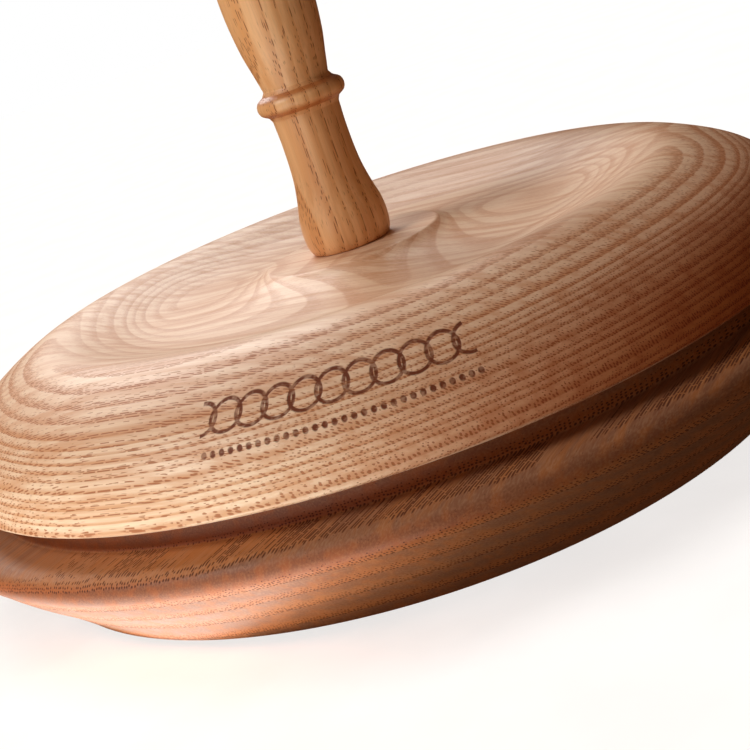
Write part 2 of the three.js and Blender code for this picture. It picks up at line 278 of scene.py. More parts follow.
def drilled(piece, holes):
    """The piece with holes cut into it. Each hole is (x, y, radius, bottom, top, chamfer):
    its place in metres, the rest in millimetres, with a chamfer where it leaves the wood below."""
    build = bmesh.new()
    for x, y, radius, bottom, top, chamfer in holes:
        profile = [(0, bottom - 1), (radius + chamfer, bottom - 1), (radius + chamfer, bottom)]
        profile += [(radius, bottom + chamfer), (radius, top), (0, top)]
        add_turned(build, corners(*profile, rounding=0), 32, at=(x, y, 0), step=50)
    cut_away(piece, new_piece("drill", mesh_from(build, "drill")))
    shade_smooth(piece.data)
    return piece


def finish_piece(piece, material, body, slot, *nodes):
    piece.data.materials.clear()
    piece.data.materials.append(material)
    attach(piece, body)
    if nodes:
        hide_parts(*nodes)
    return piece


# ------------------------------------------------------------------ material helpers
class Shader:
    """A material's node tree, with one short call for each kind of node."""

    def __init__(self, name):
        self.material = bpy.data.materials.new(name)
        self.material.use_nodes = True
        self.tree = self.material.node_tree
        self.tree.nodes.clear()

    def node(self, kind, inputs=None, **settings):
        made = self.tree.nodes.new(kind)
        for key, value in settings.items():
            setattr(made, key, value)
        for key, value in (inputs or {}).items():
            self.feed(made.inputs[key], value)
        return made

    def feed(self, socket, value):
        if isinstance(value, bpy.types.NodeSocket):
            self.tree.links.new(value, socket)
        else:
            socket.default_value = value

    def math(self, operation, *values):
        made = self.node("ShaderNodeMath", operation=operation)
        for socket, value in zip(made.inputs, values):
            self.feed(socket, value)
        return made.outputs[0]

    def vector(self, operation, *values, output=0):
        made = self.node("ShaderNodeVectorMath", operation=operation)
        for socket, value in zip(made.inputs, values):
            self.feed(socket, value)
        return made.outputs[output]

    def scaled(self, vector, scale):
        return self.vector("MULTIPLY", vector, scale)

    def split(self, vector):
        return self.node("ShaderNodeSeparateXYZ", {0: vector}).outputs

    def joined(self, x, y, z):
        return self.node("ShaderNodeCombineXYZ", {0: x, 1: y, 2: z}).outputs[0]

    def placed(self, vector, location, rotation, scale=(1, 1, 1)):
        """The vector in the coordinates of a box at that place, turned and scaled so."""
        made = self.node("ShaderNodeMapping", {"Vector": vector}, vector_type="TEXTURE")
        for label, value in (("Location", location), ("Rotation", rotation), ("Scale", scale)):
            made.inputs[label].default_value = value
        return made.outputs[0]

    def range(self, value, low, high, to_low=0.0, to_high=1.0, smooth=True):
        kind = "SMOOTHSTEP" if smooth else "LINEAR"
        made = self.node("ShaderNodeMapRange", interpolation_type=kind, clamp=True)
        for index, number in enumerate((value, low, high, to_low, to_high)):
            self.feed(made.inputs[index], number)
        return made.outputs[0]

    def mix(self, factor, first, second, blend="MIX"):
        made = self.node("ShaderNodeMix", data_type="RGBA", blend_type=blend)
        self.feed(made.inputs[0], factor)
        self.feed(made.inputs[6], first)
        self.feed(made.inputs[7], second)
        return made.outputs[2]

    def noise(self, vector, scale=1.0, detail=2.0):
        inputs = {"Vector": vector, "Scale": scale, "Detail": detail, "Roughness": 0.5}
        return self.node("ShaderNodeTexNoise", inputs).outputs["Fac"]

    def noise_line(self, value, scale, detail=1.0):
        inputs = {"W": value, "Scale": scale, "Detail": detail}
        return self.node("ShaderNodeTexNoise", inputs, noise_dimensions="1D").outputs["Fac"]

    def random(self, value):
        inputs = {"W": value}
        return self.node("ShaderNodeTexWhiteNoise", inputs, noise_dimensions="1D").outputs["Value"]

    def random_vector(self, vector):
        """Three random numbers for each vector."""
        return self.split(self.node("ShaderNodeTexWhiteNoise", {"Vector": vector}).outputs["Color"])

    def cells(self, vector):
        """Distance to the nearest cell point, and a random number for that cell."""
        inputs = {"Vector": vector, "Scale": 1.0, "Randomness": 1.0}
        made = self.node("ShaderNodeTexVoronoi", inputs, voronoi_dimensions="3D")
        return made.outputs["Distance"], self.split(made.outputs["Color"])[0]

    def bump(self, height, strength, distance, normal=None):
        inputs = {"Height": height, "Strength": strength, "Distance": distance}
        if normal is not None:
            inputs["Normal"] = normal
        return self.node("ShaderNodeBump", inputs).outputs[0]

    def object_point(self):
        return self.node("ShaderNodeTexCoord").outputs["Object"]

    def object_normal(self):
        return self.node("ShaderNodeTexCoord").outputs["Normal"]

    def surface(self, **inputs):
        """The Principled shader, with its inputs named with underscores."""
        shader = self.node("ShaderNodeBsdfPrincipled")
        for key, value in inputs.items():
            self.feed(shader.inputs[key.replace("_", " ")], value)
        output = self.node("ShaderNodeOutputMaterial")
        self.tree.links.new(shader.outputs[0], output.inputs["Surface"])
        return self.material


def srgb(red, green, blue):
    """A colour given as 0 to 255, as the linear colour that nodes use."""
    def linear(level):
        level /= 255
        return level / 12.92 if level <= 0.04045 else ((level + 0.055) / 1.055) ** 2.4
    return (linear(red), linear(green), linear(blue), 1.0)


# ------------------------------------------------------------------ wood
def wood(name, grain, pith, ring, late, early, pore, dark, pore_rows, pore_pitch=1.0,
         pore_length=4.5, waviness=1.0, contrast=0.85, streaks=0.3, roughness=0.52, coat=0.06,
         swellings=(), smooth_inside=None, extra=None):
    """Ring-porous wood in the piece's own coordinates. grain is the tree's axis as a direction and
    pith a point on it in metres. ring is the ring width, and late, early, pore and dark are the
    colours of the dense wood, the porous wood, the pores and the end grain. Each pore row is
    (place in the ring from 0 to 1, pore radius, share kept). A swelling is (x, y, direction in
    degrees, half length, half width, height) of a place where the growth layers rise. Lengths but
    the pith's are in millimetres."""
    shader = Shader(name)
    along_grain = Vector(grain).normalized()
    from_pith = -Vector(pith)
    from_pith -= along_grain * from_pith.dot(along_grain)
    outwards = from_pith.normalized()
    sideways = outwards.cross(along_grain)
    turn = Matrix((along_grain, sideways, outwards)).transposed().to_euler()
    point = shader.object_point()
    place = shader.placed(point, pith, turn)
    along, across, away = shader.split(place)

    # Distance from the pith, with the slow waves and swellings of the growth layers.
    radius = shader.vector("LENGTH", shader.scaled(place, (0.0, 1.0, 1.0)), output=1)
    slow = shader.noise(shader.scaled(place, (3.0, 11.0, 11.0)), detail=1.0)
    radius = shader.math("MULTIPLY_ADD", slow, 2 * waviness * MM, radius)
    ripple = shader.noise(shader.scaled(place, (22.0, 60.0, 60.0)), detail=1.0)
    radius = shader.math("MULTIPLY_ADD", ripple, 0.35 * waviness * MM, radius)
    for x, y, degrees, half_length, half_width, height in swellings:
        local = shader.placed(point, (x * MM, y * MM, 0), (0, 0, math.radians(degrees)),
                              (half_length * MM, half_width * MM, 1))
        flat = shader.scaled(local, (1.0, 1.0, 0.0))
        fall = shader.math("MULTIPLY", shader.vector("DOT_PRODUCT", flat, flat, output=1), -1.0)
        rise = shader.math("EXPONENT", fall)
        radius = shader.math("MULTIPLY_ADD", rise, -height * MM, radius)

    # Rings of uneven width, each with its own number and strength.
    uneven = shader.math("MULTIPLY", shader.noise_line(radius, 1 / (4.2 * ring * MM), detail=1.0), 1.5)
    ring_count = shader.math("MULTIPLY_ADD", radius, 1 / (ring * MM), uneven)
    phase = shader.math("FRACT", ring_count)
    number = shader.math("FLOOR", ring_count)
    strength = shader.range(shader.random(number), 0.0, 1.0, 0.6, 1.0, smooth=False)

    # Porous wood starts sharply at each ring's inner edge and fades outwards.
    start = shader.range(phase, 0.0, 0.09)
    fade = shader.range(phase, 0.2, 0.66, 1.0, 0.0)
    early_zone = shader.math("MULTIPLY", shader.math("MULTIPLY", fade, start), strength)

    # Pores are tubes along the grain, side by side in rows at the start of each ring.
    arc = shader.math("MULTIPLY", shader.math("ARCTAN2", across, away), from_pith.length)
    pores = None
    for index, (row_phase, pore_radius, share) in enumerate(pore_rows):
        shift = shader.math("MULTIPLY", number, 0.37 + 0.11 * index)
        column = shader.math("MULTIPLY_ADD", arc, 1 / (pore_pitch * MM), shift)
        cell = shader.joined(shader.math("FLOOR", column), number, float(index))
        chances = shader.random_vector(cell)
        beside = shader.math("SUBTRACT", shader.math("FRACT", column), 0.5)
        beside = shader.math("ADD", beside, shader.math("MULTIPLY_ADD", chances[0], 0.4, -0.2))
        beside = shader.math("MULTIPLY", beside, pore_pitch)
        above = shader.math("SUBTRACT", phase, row_phase)
        above = shader.math("MULTIPLY", above, ring)
        above = shader.math("ADD", above, shader.math("MULTIPLY_ADD", chances[1], 0.3, -0.15))
        gap = shader.math("SQRT", shader.math("ADD", shader.math("MULTIPLY", beside, beside),
                                              shader.math("MULTIPLY", above, above)))
        hole = shader.range(gap, 1.3 * pore_radius, 0.7 * pore_radius)
        start_along = shader.math("MULTIPLY", chances[2], 9.0)
        run = shader.math("MULTIPLY_ADD", along, 1 / (pore_length * MM), start_along)
        run = shader.math("ABSOLUTE", shader.math("SUBTRACT", shader.math("FRACT", run), 0.5))
        hole = shader.math("MULTIPLY", hole, shader.range(run, share / 2 + 0.04, share / 2 - 0.04))
        pores = hole if pores is None else shader.math("MAXIMUM", pores, hole)

    # Small pores of the dense wood, fibres and long soft streaks.
    small = (1 / (pore_length * MM), 1 / (0.42 * MM), 1 / (0.42 * MM))
    distance, chance = shader.cells(shader.scaled(place, small))
    kept = shader.math("LESS_THAN", chance, 0.22)
    small_pores = shader.math("MULTIPLY", shader.range(distance, 0.34, 0.16), kept)
    fibre = shader.noise(shader.scaled(place, (70.0, 2400.0, 2400.0)), detail=2.0)
    streak = shader.noise(shader.scaled(place, (14.0, 380.0, 380.0)), detail=3.0)
    patch = shader.noise(shader.scaled(place, (9.0, 24.0, 24.0)), detail=2.0)

    if smooth_inside:
        # The middle of the piece is sanded finer, which leaves its pores and rings fainter.
        x, y, _ = shader.split(point)
        distance_out = shader.vector("LENGTH", shader.joined(x, y, 0.0), output=1)
        rough_part = shader.range(distance_out, smooth_inside[0] * MM, smooth_inside[1] * MM, 0.25, 1.0)
        pores = shader.math("MULTIPLY", pores, rough_part)
        small_pores = shader.math("MULTIPLY", small_pores, rough_part)
        early_zone = shader.math("MULTIPLY", early_zone, shader.range(rough_part, 0.25, 1.0, 0.62, 1.0))

    colour = shader.mix(shader.math("MULTIPLY", early_zone, contrast), late, early)
    colour = shader.mix(shader.range(streak, 0.4, 0.7, 0.0, streaks), colour, early)
    colour = shader.mix(shader.range(patch, 0.45, 0.72, 0.0, 0.16), colour, early)
    colour = shader.mix(shader.range(fibre, 0.35, 0.75, 0.0, 0.26), colour, dark)
    colour = shader.mix(shader.math("MULTIPLY", pores, 0.85), colour, pore)
    colour = shader.mix(shader.math("MULTIPLY", small_pores, 0.45), colour, pore)

    # End grain drinks more finish and is darker.
    facing = shader.vector("DOT_PRODUCT", shader.object_normal(), along_grain, output=1)
    ends = shader.range(shader.math("ABSOLUTE", facing), 0.25, 0.95)
    colour = shader.mix(ends, colour, dark, "MULTIPLY")

    # The pores are open, and the porous wood lies a hair lower than the dense wood.
    relief = shader.math("MULTIPLY_ADD", early_zone, -0.25, shader.math("MULTIPLY", pores, -1.0))
    relief = shader.math("MULTIPLY_ADD", fibre, 0.1, relief)
    gloss = shader.range(streak, 0.3, 0.7, roughness - 0.05, roughness + 0.05)
    gloss = shader.math("MULTIPLY_ADD", pores, 0.25, gloss)
    normal = shader.bump(relief, 0.3, 0.12 * MM)
    if extra:
        colour, gloss, normal = extra(shader, point, colour, gloss, normal)
    return shader.surface(Base_Color=colour, Roughness=gloss, Normal=normal, Coat_Weight=coat,
                          Coat_Roughness=0.35, IOR=1.48)


# The upper disc's growth layers lie nearly flat, with the trunk's centre far below, and rise in two
# broad swellings beside the boss and sink in a narrow one in front of it.
UPPER_GRAIN = (0.82, -0.57, 0.0)
UPPER_SWELLINGS = (
    (-44, 22, 112, 58, 28, 6.0),
    (60, -2, -10, 62, 28, 4.6),
    (6, -38, -82, 32, 13, -3.6),
)


def upper_disc_wood():
    return wood(
        "pale_ash", UPPER_GRAIN, pith=(0, 0, -1.8), ring=1.55,
        late=srgb(245, 213, 182), early=srgb(208, 146, 100), pore=srgb(164, 92, 46),
        dark=srgb(216, 150, 98),
        pore_rows=((0.12, 0.16, 0.85), (0.3, 0.14, 0.8), (0.5, 0.12, 0.6), (0.72, 0.09, 0.4)),
        streaks=0.6, pore_pitch=0.62, roughness=0.47, coat=0.12, swellings=UPPER_SWELLINGS,
        smooth_inside=(80, 96), extra=burned_border)


def lower_disc_wood():
    return wood(
        "brown_ash", (0.55, 0.83, 0.02), pith=(0.05, 0, -1.2), ring=6.2,
        late=srgb(148, 98, 70), early=srgb(196, 122, 62), pore=srgb(88, 40, 14),
        dark=srgb(216, 176, 140),
        pore_rows=((0.06, 0.22, 0.9), (0.16, 0.2, 0.85), (0.27, 0.18, 0.7), (0.38, 0.15, 0.5)),
        pore_pitch=0.7, waviness=3.0, contrast=1.0, streaks=0.55, roughness=0.58, coat=0.03)


def spindle_wood():
    return wood(
        "golden_oak", (0, 0.01, 1), pith=(0.9, 0.25, 0), ring=4.2,
        late=srgb(249, 198, 144), early=srgb(224, 158, 98), pore=srgb(142, 78, 34),
        dark=srgb(200, 160, 120), pore_rows=((0.1, 0.15, 0.8), (0.2, 0.13, 0.65), (0.32, 0.1, 0.5)),
        pore_pitch=0.62, pore_length=6.0, waviness=1.0, streaks=0.6, coat=0.2, roughness=0.44)


def arm_wood(name, grain, pith):
    return wood(
        name, grain, pith=pith, ring=2.2,
        late=srgb(242, 216, 190), early=srgb(210, 162, 122), pore=srgb(156, 96, 56),
        dark=srgb(220, 170, 124), pore_rows=((0.16, 0.2, 0.8), (0.36, 0.14, 0.5)), waviness=1.6)


def burned_border(shader, point, colour, gloss, normal):
    """Two rows burned into the front of the shoulder: a chain of linked stitches over a line of dots."""
    first_degrees, last_degrees = -112.5, -81.5
    chain_low, chain_high = 15.4, 21.0            # heights above the disc's edge, in millimetres
    dot_height, dot_radius = 12.6, 0.62
    dot_circle = 111.5                            # radius of the shoulder at the dots
    stitches, dots = 10, 30
    x, y, z = shader.split(point)
    degrees = shader.math("MULTIPLY", shader.math("ARCTAN2", y, x), 180 / math.pi)
    height = shader.math("MULTIPLY_ADD", z, 1 / MM, -EDGE_Z / MM)
    out = shader.vector("LENGTH", shader.joined(x, y, 0.0), output=1)
    middle = (first_degrees + last_degrees) / 2
    inside = shader.math("COMPARE", degrees, middle, (last_degrees - first_degrees) / 2)
    inside = shader.math("MULTIPLY", inside, shader.math("GREATER_THAN", out, 92 * MM))

    # Linked ovals: two runs of wide ovals, half a stitch apart, leaning with the yarn's twist.
    count = shader.range(degrees, first_degrees, last_degrees, 0.0, stitches, smooth=False)
    up = shader.range(height, chain_low - 2, chain_high + 2, -1.0 - 4 / (chain_high - chain_low),
                      1.0 + 4 / (chain_high - chain_low), smooth=False)
    chain = None
    for run in (0, 1):
        local = shader.math("MULTIPLY_ADD", count, 0.5, 0.5 * run)
        local = shader.math("SUBTRACT", shader.math("FRACT", local), 0.5)
        local = shader.math("MULTIPLY_ADD", up, -0.05, local)
        wide = shader.math("DIVIDE", local, 0.35)
        oval = shader.math("SQRT", shader.math("ADD", shader.math("MULTIPLY", wide, wide),
                                               shader.math("MULTIPLY", up, up)))
        off = shader.math("ABSOLUTE", shader.math("SUBTRACT", oval, 0.84))
        line = shader.range(off, 0.06, 0.14, 1.0, 0.0)
        chain = line if chain is None else shader.math("MAXIMUM", chain, line)

    step = shader.range(degrees, first_degrees, last_degrees, 0.0, dots, smooth=False)
    dot_step = math.radians(last_degrees - first_degrees) * dot_circle / dots
    sideways = shader.math("MULTIPLY", shader.math("SUBTRACT", shader.math("FRACT", step), 0.5), dot_step)
    above = shader.math("SUBTRACT", height, dot_height)
    away = shader.math("SQRT", shader.math("ADD", shader.math("MULTIPLY", sideways, sideways),
                                           shader.math("MULTIPLY", above, above)))
    dot = shader.range(away, dot_radius - 0.15, dot_radius + 0.15, 1.0, 0.0)

    burn = shader.math("MULTIPLY", shader.math("MAXIMUM", chain, dot), inside)
    uneven = shader.noise(shader.scaled(point, (700.0, 700.0, 900.0)), detail=1.0)
    burn = shader.math("MULTIPLY", burn, shader.range(uneven, 0.3, 0.6, 0.62, 1.0))
    colour = shader.mix(burn, colour, srgb(112, 50, 18))
    gloss = shader.math("MULTIPLY_ADD", burn, 0.4, gloss)
    normal = shader.bump(shader.math("MULTIPLY", burn, -1.0), 0.5, 0.2 * MM, normal)
    return colour, gloss, normal


# ------------------------------------------------------------------ other materials
def shade(colour, factor):
    return (*[min(1.0, level * factor) for level in colour[:3]], 1.0)


def metal(name, colour, roughness, brush=(900.0, 900.0, 60.0)):
    """Metal with fine working marks, drawn out along the axis where brush is smallest, and smudges."""
    shader = Shader(name)
    point = shader.object_point()
    lines = shader.noise(shader.scaled(point, brush), detail=2.0)
    smudge = shader.noise(point, scale=90.0, detail=3.0)
    speck = shader.noise(point, scale=1500.0, detail=1.0)
    tone = shader.mix(shader.range(smudge, 0.35, 0.75, 0.0, 0.45), colour, shade(colour, 0.7))
    tone = shader.mix(shader.range(speck, 0.62, 0.72, 0.0, 0.5), tone, shade(colour, 0.45))
    rough = shader.range(lines, 0.3, 0.7, roughness - 0.06, roughness + 0.1)
    rough = shader.math("MULTIPLY_ADD", shader.range(smudge, 0.4, 0.7), 0.1, rough)
    normal = shader.bump(lines, 0.12, 0.05 * MM)
    return shader.surface(Base_Color=tone, Metallic=1.0, Roughness=rough, Normal=normal)


def moulded(name, colour, roughness):
    """A moulded rubber or plastic with a fine grain and a little dust."""
    shader = Shader(name)
    point = shader.object_point()
    grain = shader.noise(point, scale=1800.0, detail=2.0)
    dust = shader.noise(point, scale=140.0, detail=3.0)
    dusty = (*[level * 0.8 + 0.06 for level in colour[:3]], 1.0)
    tone = shader.mix(shader.range(dust, 0.42, 0.75, 0.0, 0.5), colour, dusty)
    rough = shader.range(dust, 0.3, 0.7, roughness - 0.07, roughness + 0.07)
    return shader.surface(Base_Color=tone, Roughness=rough, Normal=shader.bump(grain, 0.2, 0.1 * MM))


pale = upper_disc_wood()
brown = lower_disc_wood()
golden = spindle_wood()
lower_arm_wood = arm_wood("arm_ash_x", (1, 0.012, 0), (0, 0.05, -0.4))
upper_arm_wood = arm_wood("arm_ash_y", (-0.01, 1, 0), (-0.12, 0, -0.35))
steel = metal("zinc_plated_steel", srgb(196, 199, 202), 0.34)
bearing_steel = metal("bearing_steel", srgb(218, 220, 222), 0.14, brush=(300.0, 300.0, 300.0))
brass = metal("aged_brass", srgb(206, 164, 84), 0.3)
rubber = moulded("foot_rubber", srgb(40, 38, 36), 0.78)
nylon = moulded("natural_nylon", srgb(226, 221, 208), 0.48)


# ------------------------------------------------------------------ discs
PAD_CIRCLE = 86
PAD_RADIUS = 9
PAD_HEIGHT = 4
RACE_SCREW_CIRCLE = 51
LOWER_SCREW_DEGREES = 0
UPPER_SCREW_DEGREES = 45
DRIVER_HOLE_DEGREES = 22.5
RECESS_FLOOR = 27.7
HUB_HOLE = 2.8                                      # radius of the screw's hole in the upper disc
HUB_POCKET = 10.5                                   # radius of the pocket for the screw's head
HUB_POCKET_DEPTH = 6
HUB_WASHER_THICKNESS = 1.2


def upper_disc():
    r = DISC_RADIUS / MM
    boss_top = SPINDLE_FOOT_Z / MM - GAP - EDGE_Z / MM
    piece = turned("upper_disc_turned", [
        (HUB_HOLE, HUB_POCKET_DEPTH, 0.2),
        (HUB_POCKET, HUB_POCKET_DEPTH, 0.3),
        (HUB_POCKET, 0, 0.4),
        (r - 0.9, 0, 0.3),
        (r, 0.8, 0.5),
        (r - 1.4, 5.2),
        (r - 5.2, 12),
        (r - 11.5, 18.4),
        (r - 20.5, 23.4),
        (r - 28, 26.2),
        (r - 33, 26.9),
        (80, 26.1),
        (72, 23.9),
        (64, 21.8),
        (56, 20.8),
        (46, 20.9),
        (38, 21.4),
        (31, 22.4),
        (27, 23.5),
        (24.2, boss_top, 0.5),
        (HUB_HOLE, boss_top, 0.2),
        (HUB_HOLE, HUB_POCKET_DEPTH),
    ], TURN_STEPS, at=(0, 0, EDGE_Z), closed=True)
    finish_piece(piece, pale, "turntable", "light_ash", "upper_disc")


def lower_disc():
    r = BASE_RADIUS / MM
    ledge = 29.4
    step_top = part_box("lower_disc")[1].z / MM
    piece = turned("lower_disc_turned", [
        (0, 2),
        (105.6, 2, 0.8),
        (107.4, 4.2),
        (113.4, 10.6),
        (119.6, 16.4),
        (124.2, 21.4),
        (r, ledge - 4.2),
        (r - 1.1, ledge - 1.2),
        (r - 4.2, ledge, 0.8),
        (113, ledge, 0.9),
        (113, step_top, 0.6),
        (73, step_top, 0.4),
        (73, RECESS_FLOOR, 0.3),
        (0, RECESS_FLOOR),
    ], TURN_STEPS)
    holes = []
    for x, y in around_circle(4, PAD_CIRCLE, 45):
        holes.append((x, y, PAD_RADIUS + GAP, 2, PAD_HEIGHT + GAP, 0.2))
    for x, y in around_circle(4, RACE_SCREW_CIRCLE, LOWER_SCREW_DEGREES):
        holes.append((x, y, 2, RECESS_FLOOR - 11, RECESS_FLOOR + 1, 0))
    for x, y in around_circle(1, RACE_SCREW_CIRCLE, DRIVER_HOLE_DEGREES):
        holes.append((x, y, 6, 2, RECESS_FLOOR + 1, 0.8))
    finish_piece(drilled(piece, holes), brown, "base", "dark_ash", "lower_disc")


def foot_pads():
    for number in range(1, 5):
        low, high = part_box(f"foot_pad_{number}")
        centre = ((low.x + high.x) / 2, (low.y + high.y) / 2, 0)
        piece = turned(f"foot_pad_{number}_moulded", [
            (0, 0.5, 0.1),
            (3.4, 0.5, 0.2),
            (3.9, 0, 0.3),
            (5.2, 0, 0.3),
            (5.7, 0.5, 0.2),
            (6.3, 0, 0.3),
            (8.2, 0, 0.5),
            (9, 0.9, 0.5),
            (9, 4, 0.3),
            (0, 4),
        ], 40, at=centre, step=0.8)
        finish_piece(piece, rubber, "base", "pad_rubber", f"foot_pad_{number}")


# ------------------------------------------------------------------ bearing
RACE_THICKNESS = 2.3
LOWER_RACE = RECESS_FLOOR + GAP                     # height of the lower race's bottom
UPPER_RACE = EDGE_Z / MM - GAP - RACE_THICKNESS     # and of the upper one's
BALL_CIRCLE = 62
BALL_RADIUS = 2.3
BALL_Z = 31.6


def race(name, node, body, bottom, groove_up):
    """A pressed ring with a round ball groove. Heights run from the ring's flat side."""
    side = [
        (44, 0, 0.3),
        (70, 0, 0.3),
        (70, RACE_THICKNESS, 0.5),
        (64.8, RACE_THICKNESS, 0.3),
        (63.6, RACE_THICKNESS - 0.85),
        (62, RACE_THICKNESS - 1.25),
        (60.4, RACE_THICKNESS - 0.85),
        (59.2, RACE_THICKNESS, 0.3),
        (44, RACE_THICKNESS, 0.5),
        (44, 0, 0.3),
    ]
    if not groove_up:
        side = [(radius, RACE_THICKNESS - height, *rest) for radius, height, *rest in side]
    piece = turned(name, side, 120, at=(0, 0, bottom * MM), closed=True)
    first = LOWER_SCREW_DEGREES if groove_up else UPPER_SCREW_DEGREES
    holes = []
    for x, y in around_circle(4, RACE_SCREW_CIRCLE, first):
        holes.append((x, y, 2, bottom - 1, bottom + RACE_THICKNESS + 1, 0))
    finish_piece(drilled(piece, holes), steel, body, "zinc_steel", node)


def balls_and_cage():
    build = bmesh.new()
    cage = [(58, -0.4, 0.2), (66, -0.4, 0.2), (66, 0.4, 0.2), (58, 0.4, 0.2), (58, -0.4, 0.2)]
    add_turned(build, cage, 120, at=(0, 0, BALL_Z * MM), closed=True)
    ball = []
    for i in range(17):
        angle = math.pi * (i / 16 - 0.5)
        ball.append((BALL_RADIUS * math.cos(angle), BALL_RADIUS * math.sin(angle)))
    collar = [(2.9, -0.55, 0.1), (3.5, -0.4, 0.1), (3.5, 0.4, 0.1), (2.9, 0.55, 0.1), (2.9, -0.55, 0.1)]
    for x, y in around_circle(12, BALL_CIRCLE, 0):
        add_turned(build, ball, 24, at=(x, y, BALL_Z * MM), step=0.4)
        add_turned(build, collar, 24, at=(x, y, BALL_Z * MM), closed=True)
    piece = new_piece("balls_and_cage", mesh_from(build, "balls_and_cage"))
    finish_piece(piece, bearing_steel, "ball_ring", "ball_steel", "ball_cage")


def cross_recess(piece, x, y, face, size, depth, flip):
    """Cuts a cross-shaped driver recess into a screw head whose top is at face."""
    build = bmesh.new()
    direction = -1 if flip else 1
    for wide, narrow in ((size, size * 0.28), (size * 0.28, size)):
        rings = []
        for taper, height in ((0.45, face - direction * depth), (1.0, face + direction)):
            ring = []
            for side_x, side_y in ((-1, -1), (1, -1), (1, 1), (-1, 1)):
                ring.append(build.verts.new((
                    x + side_x * wide * taper * MM,
                    y + side_y * narrow * taper * MM,
                    height * MM)))
            rings.append(ring)
            build.faces.new(ring)
        add_rings(build, rings)
    cut_away(piece, new_piece("driver", mesh_from(build, "driver")), crossing=True)


def finish_screw(build, recess, thread, body, node):
    """Makes a screw of the head in build: cuts its driver recess and adds its thread."""
    piece = new_piece(f"{node}_driven", mesh_from(build, "screw_head"))
    cross_recess(piece, **recess)
    build = bmesh.new()
    build.from_mesh(piece.data)
    add_thread(build, **thread)
    piece.data = mesh_from(build, f"{node}_driven")
    finish_piece(piece, steel, body, "zinc_steel", node)


def race_screws(prefix, body, first_degrees, seat, flip):
    """Pan-head wood screws through a race. seat is the height that their heads rest at."""
    direction = -1 if flip else 1
    for number, (x, y) in enumerate(around_circle(4, RACE_SCREW_CIRCLE, first_degrees), 1):
        build = bmesh.new()
        head = [(0, 0), (3.4, 0, 0.1), (3.3, 0.35), (2.7, 0.68), (1.6, 0.8), (0, 0.8)]
        add_turned(build, head, 32, at=(x, y, seat * MM), step=0.4, flip=flip)
        recess = dict(x=x, y=y, face=seat + direction * 0.8, size=1.7, depth=0.6, flip=flip)
        thread = dict(radius=1.7, pitch=1.3, depth=0.45, bottom=-11.5, top=-0.02,
                      at=(x, y, seat * MM), steps=20, flip=flip)
        finish_screw(build, recess, thread, body, f"{prefix}_{number}")


# ------------------------------------------------------------------ spindle and its fixings
def spindle():
    foot = SPINDLE_FOOT_Z / MM
    top = SPINDLE_TOP_Z / MM
    piece = turned("spindle_turned", [
        (0, foot - 0.28),
        (10.6, foot - 0.28, 0.4),
        (11.4, foot + 1.4),
        (11.9, foot + 5),
        (11.6, foot + 9.5),
        (10.4, foot + 14.6),
        (9.4, foot + 20.5),
        (9, foot + 30),
        (9.2, foot + 37, 0.3),
        (9.8, foot + 38.2, 0.2),
        (11.6, foot + 39.4),
        (12.1, foot + 41),
        (11.6, foot + 42.6),
        (9.8, foot + 43.8, 0.2),
        (9, foot + 45, 0.3),
        (10, foot + 50),
        (11.2, foot + 56),
        (12.2, foot + 68),
        (11.4, foot + 86),
        (9.2, foot + 112),
        (8.4, foot + 126),
        (8.6, foot + 130, 0.3),
        (10.2, foot + 131.4),
        (11.5, foot + 134),
        (10.2, foot + 136.6),
        (8.6, foot + 138, 0.3),
        (8.5, foot + 141),
        (9.4, foot + 151),
        (12.5, top - 9, 0.4),
        (12.5, top, 0.5),
        (4.3, top, 0.2),
        (4.3, top - 34),
        (0, top - 35),
    ], 96)
    finish_piece(piece, golden, "turntable", "golden_oak", "spindle")


def spindle_fixings():
    seat = EDGE_Z / MM + HUB_POCKET_DEPTH - HUB_WASHER_THICKNESS - 2 * GAP
    low = seat + GAP
    section = ring_section(HUB_HOLE, 9.5, low, low + HUB_WASHER_THICKNESS, rounding=0.25)
    pressed = turned("spindle_washer_pressed", section, closed=True)
    finish_piece(pressed, steel, "turntable", "zinc_steel", "spindle_washer")

    build = bmesh.new()
    head = [
        (0, seat - 2.6),
        (2.4, seat - 2.55),
        (4.2, seat - 2),
        (5, seat - 0.9),
        (5, seat, 0.2),
        (0, seat),
    ]
    add_turned(build, head, 40, step=0.5)
    recess = dict(x=0, y=0, face=seat - 2.6, size=2.6, depth=1.5, flip=True)
    thread = dict(radius=2.4, pitch=2, depth=0.6, bottom=seat + 0.02, top=99.5, steps=24)
    finish_screw(build, recess, thread, "turntable", "spindle_screw")

    low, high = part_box("threaded_stud")
    build = bmesh.new()
    add_thread(build, radius=3.9, pitch=1.25, depth=0.6, bottom=low.z / MM, top=high.z / MM, steps=32)
    stud = new_piece("threaded_stud_cut", mesh_from(build, "threaded_stud_cut"))
    finish_piece(stud, steel, "turntable", "zinc_steel", "threaded_stud")


# ------------------------------------------------------------------ arms and pegs
ARM_LENGTH = 660
ARM_WIDTH = 38
ARM_THICKNESS = 12
ARM_ROUNDING = 1.6
PEG_HOLE_RADIUS = 5.1
PEG_HOLE_FIRST = 120
PEG_HOLE_PITCH = 25
PEG_HOLE_COUNT = 9
STUD_HOLE_RADIUS = 4.3


def closed_loop(curve, points):
    spline = curve.splines.new("POLY")
    spline.points.add(len(points) - 1)
    for target, (x, y) in zip(spline.points, points):
        target.co = (x * MM, y * MM, 0, 1)
    spline.use_cyclic_u = True


def circle_points(x, y, radius, count):
    points = []
    for i in range(count):
        angle = 2 * math.pi * i / count
        points.append((x + radius * math.cos(angle), y + radius * math.sin(angle)))
    return points


